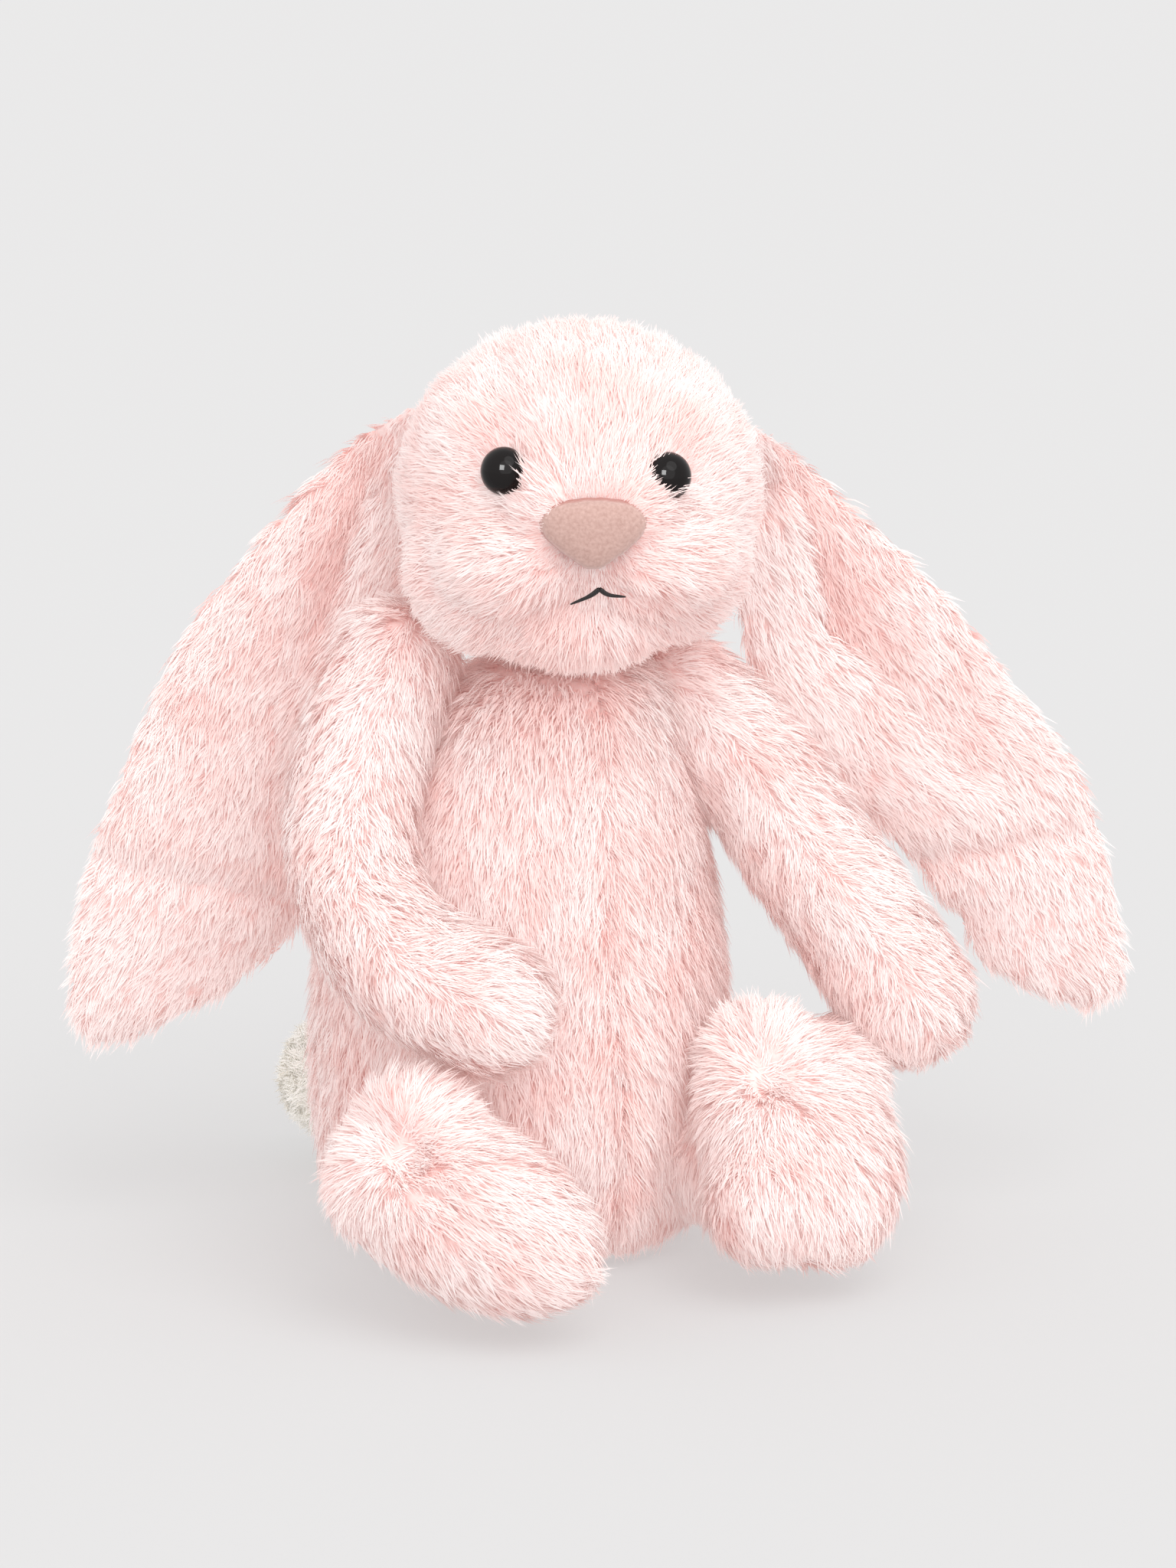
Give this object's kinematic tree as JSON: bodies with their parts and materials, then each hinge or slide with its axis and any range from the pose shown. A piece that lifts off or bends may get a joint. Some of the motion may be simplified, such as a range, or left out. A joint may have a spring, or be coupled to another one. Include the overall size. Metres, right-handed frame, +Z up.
{
  "type": "stuffed rabbit",
  "caption": "Seated lop-eared soft toy rabbit in long pale pink pile, with bead eyes, a suede nose, padded arms, floppy ears and round feet.",
  "frame": {"origin": "centre of the toy's bounding box, on the floor it sits on", "axes": "+Z up, the head looks along -Y, +X towards the rabbit's own left, along the spread of the ears"},
  "size_m": [0.2529, 0.1796, 0.2167],
  "materials": {
    "pink_plush": "long soft pile, matte",
    "cream_plush": "long soft pile, matte",
    "polyester_filling": "loose white fibre",
    "pouch_cloth": "plain woven cloth",
    "pink_thread": "twisted thread",
    "nose_suede": "napped suede cloth",
    "black_thread": "embroidery thread, slight sheen",
    "eye_plastic": "polished black",
    "washer_plastic": "moulded white"
  },
  "bodies": {
    "torso": {"torso_front_left_panel": "pink_plush", "torso_front_right_panel": "pink_plush", "torso_back_left_panel": "pink_plush", "torso_back_right_panel": "pink_plush", "torso_stuffing": "polyester_filling", "torso_pellet_pouch": "pouch_cloth", "tail_pompom": "cream_plush"},
    "neck": {"neck_seam_thread": "pink_thread"},
    "head": {"head_centre_gusset": "pink_plush", "head_left_panel": "pink_plush", "head_right_panel": "pink_plush", "head_chin_panel": "pink_plush", "head_stuffing": "polyester_filling", "nose_patch": "nose_suede", "mouth_stitch": "black_thread", "eye_right": "eye_plastic", "eye_left": "eye_plastic", "eye_right_washer": "washer_plastic", "eye_left_washer": "washer_plastic"},
    "ear_right": {"ear_right_front_panel": "pink_plush", "ear_right_back_panel": "pink_plush"},
    "ear_left": {"ear_left_front_panel": "pink_plush", "ear_left_back_panel": "pink_plush"},
    "arm_right": {"arm_right_inner_panel": "pink_plush", "arm_right_outer_panel": "pink_plush", "arm_right_stuffing": "polyester_filling"},
    "arm_left": {"arm_left_inner_panel": "pink_plush", "arm_left_outer_panel": "pink_plush", "arm_left_stuffing": "polyester_filling"},
    "leg_right": {"leg_right_inner_panel": "pink_plush", "leg_right_outer_panel": "pink_plush", "leg_right_stuffing": "polyester_filling", "leg_right_pellet_pouch": "pouch_cloth"},
    "leg_left": {"leg_left_inner_panel": "pink_plush", "leg_left_outer_panel": "pink_plush", "leg_left_stuffing": "polyester_filling", "leg_left_pellet_pouch": "pouch_cloth"}
  },
  "joints": [
    {"name": "neck_turn", "type": "hinge", "parent": "torso", "child": "neck", "pos_m": [-0.01055, 0.00028, 0.1366], "axis": [0, 0, 1], "range_deg": [-15, 15]},
    {"name": "head_nod", "type": "hinge", "parent": "neck", "child": "head", "pos_m": [-0.00705, -0.00072, 0.162], "axis": [-1, 0, 0], "range_deg": [-12, 7]},
    {"name": "ear_right_lift", "type": "hinge", "parent": "head", "child": "ear_right", "pos_m": [-0.04755, 0.02728, 0.186], "axis": [0, 1, 0], "range_deg": [0, 120]},
    {"name": "ear_left_lift", "type": "hinge", "parent": "head", "child": "ear_left", "pos_m": [0.03345, 0.02728, 0.186], "axis": [0, -1, 0], "range_deg": [0, 120]},
    {"name": "arm_right_swing", "type": "hinge", "parent": "torso", "child": "arm_right", "pos_m": [-0.05055, -0.00322, 0.137], "axis": [-0.8988, -0.4384, 0], "range_deg": [0, 85]},
    {"name": "arm_left_swing", "type": "hinge", "parent": "torso", "child": "arm_left", "pos_m": [0.01845, 0.01828, 0.127], "axis": [-0.8988, -0.4384, 0], "range_deg": [0, 85]},
    {"name": "leg_right_swing", "type": "hinge", "parent": "torso", "child": "leg_right", "pos_m": [-0.03955, -0.02772, 0.024], "axis": [-0.8988, -0.4384, 0], "range_deg": [-35, 0]},
    {"name": "leg_left_swing", "type": "hinge", "parent": "torso", "child": "leg_left", "pos_m": [0.02245, -0.00672, 0.024], "axis": [-0.8988, -0.4384, 0], "range_deg": [-35, 0]}
  ]
}
